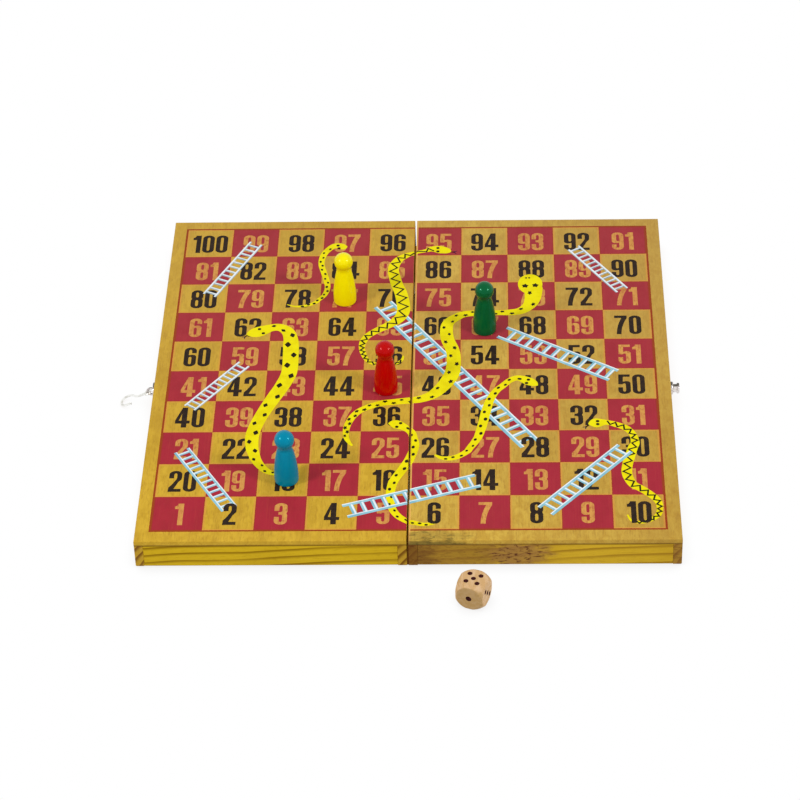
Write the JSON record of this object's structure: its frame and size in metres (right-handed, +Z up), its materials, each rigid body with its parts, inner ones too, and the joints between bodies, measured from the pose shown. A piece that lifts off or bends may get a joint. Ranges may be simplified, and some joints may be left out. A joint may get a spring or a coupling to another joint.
{
  "type": "snakes and ladders board",
  "caption": "Folding wooden game box opened flat, with a numbered snakes and ladders playing face, butt hinges, a wire hook latch, pawns and a die.",
  "frame": {"origin": "middle of the bounding box's bottom face: on the table, under the middle of board, latch and die together", "axes": "+X to the player's right across the fold, +Y away from the player along the fold, +Z up"},
  "size_m": [0.2948, 0.3034, 0.0487],
  "materials": {
    "playing_face": "varnished light plywood, printed with red squares, numbers, snakes and ladders",
    "left_frame": "yellowish varnished pine",
    "right_frame": "browner varnished pine with a knot",
    "hinge_metal": "thin brassed sheet, satin",
    "latch_metal": "bright nickel plate",
    "yellow_paint": "turned wood under gloss yellow paint",
    "red_paint": "turned wood under gloss red paint",
    "blue_paint": "turned wood under gloss blue paint",
    "green_paint": "turned wood under gloss green paint",
    "bare_wood": "smooth bare hardwood with burnt brown pips"
  },
  "bodies": {
    "left_half": {"left_playing_panel": "playing_face", "left_outer_wall": "left_frame", "left_fold_wall": "left_frame", "left_front_wall": "left_frame", "left_back_wall": "left_frame", "front_hinge_left_leaf": "hinge_metal", "front_hinge_left_screw_1": "hinge_metal", "front_hinge_left_screw_2": "hinge_metal", "front_hinge_pin": "hinge_metal", "back_hinge_left_leaf": "hinge_metal", "back_hinge_left_screw_1": "hinge_metal", "back_hinge_left_screw_2": "hinge_metal", "back_hinge_pin": "hinge_metal", "latch_screw_eye": "latch_metal"},
    "right_half": {"right_playing_panel": "playing_face", "right_outer_wall": "right_frame", "right_fold_wall": "right_frame", "right_front_wall": "right_frame", "right_back_wall": "right_frame", "front_hinge_right_leaf": "hinge_metal", "front_hinge_right_screw_1": "hinge_metal", "front_hinge_right_screw_2": "hinge_metal", "back_hinge_right_leaf": "hinge_metal", "back_hinge_right_screw_1": "hinge_metal", "back_hinge_right_screw_2": "hinge_metal", "latch_catch_stud": "latch_metal"},
    "latch_hook": {"latch_wire_hook": "latch_metal"},
    "yellow_piece": {"yellow_pawn": "yellow_paint"},
    "red_piece": {"red_pawn": "red_paint"},
    "blue_piece": {"blue_pawn": "blue_paint"},
    "green_piece": {"green_pawn": "green_paint"},
    "die_piece": {"die": "bare_wood"}
  },
  "joints": [
    {"name": "fold", "type": "hinge", "parent": "left_half", "child": "right_half", "pos_m": [0.00728, 0.0167, 0.0011], "axis": [0, 1, 0], "range_deg": [0, 180]},
    {"name": "hook_swing", "type": "hinge", "parent": "left_half", "child": "latch_hook", "pos_m": [-0.13047, 0.0117, 0.00825], "axis": [0, 1, 0], "range_deg": [-65, 115]},
    {"name": "yellow_pawn_lift", "type": "slide", "parent": "left_half", "child": "yellow_piece", "axis": [0, 0, 1], "range_m": [0, 0.04]},
    {"name": "red_pawn_lift", "type": "slide", "parent": "left_half", "child": "red_piece", "axis": [0, 0, 1], "range_m": [0, 0.04]},
    {"name": "blue_pawn_lift", "type": "slide", "parent": "left_half", "child": "blue_piece", "axis": [0, 0, 1], "range_m": [0, 0.04]},
    {"name": "green_pawn_set_down", "type": "slide", "parent": "left_half", "child": "green_piece", "axis": [0, 0, 1], "range_m": [-0.01775, 0]},
    {"name": "die_lift", "type": "slide", "parent": "left_half", "child": "die_piece", "axis": [0, 0, 1], "range_m": [0, 0.05]}
  ],
  "couplings": [
    {"joint": "green_pawn_set_down", "follows": "fold", "m_per_rad": -0.00565}
  ]
}
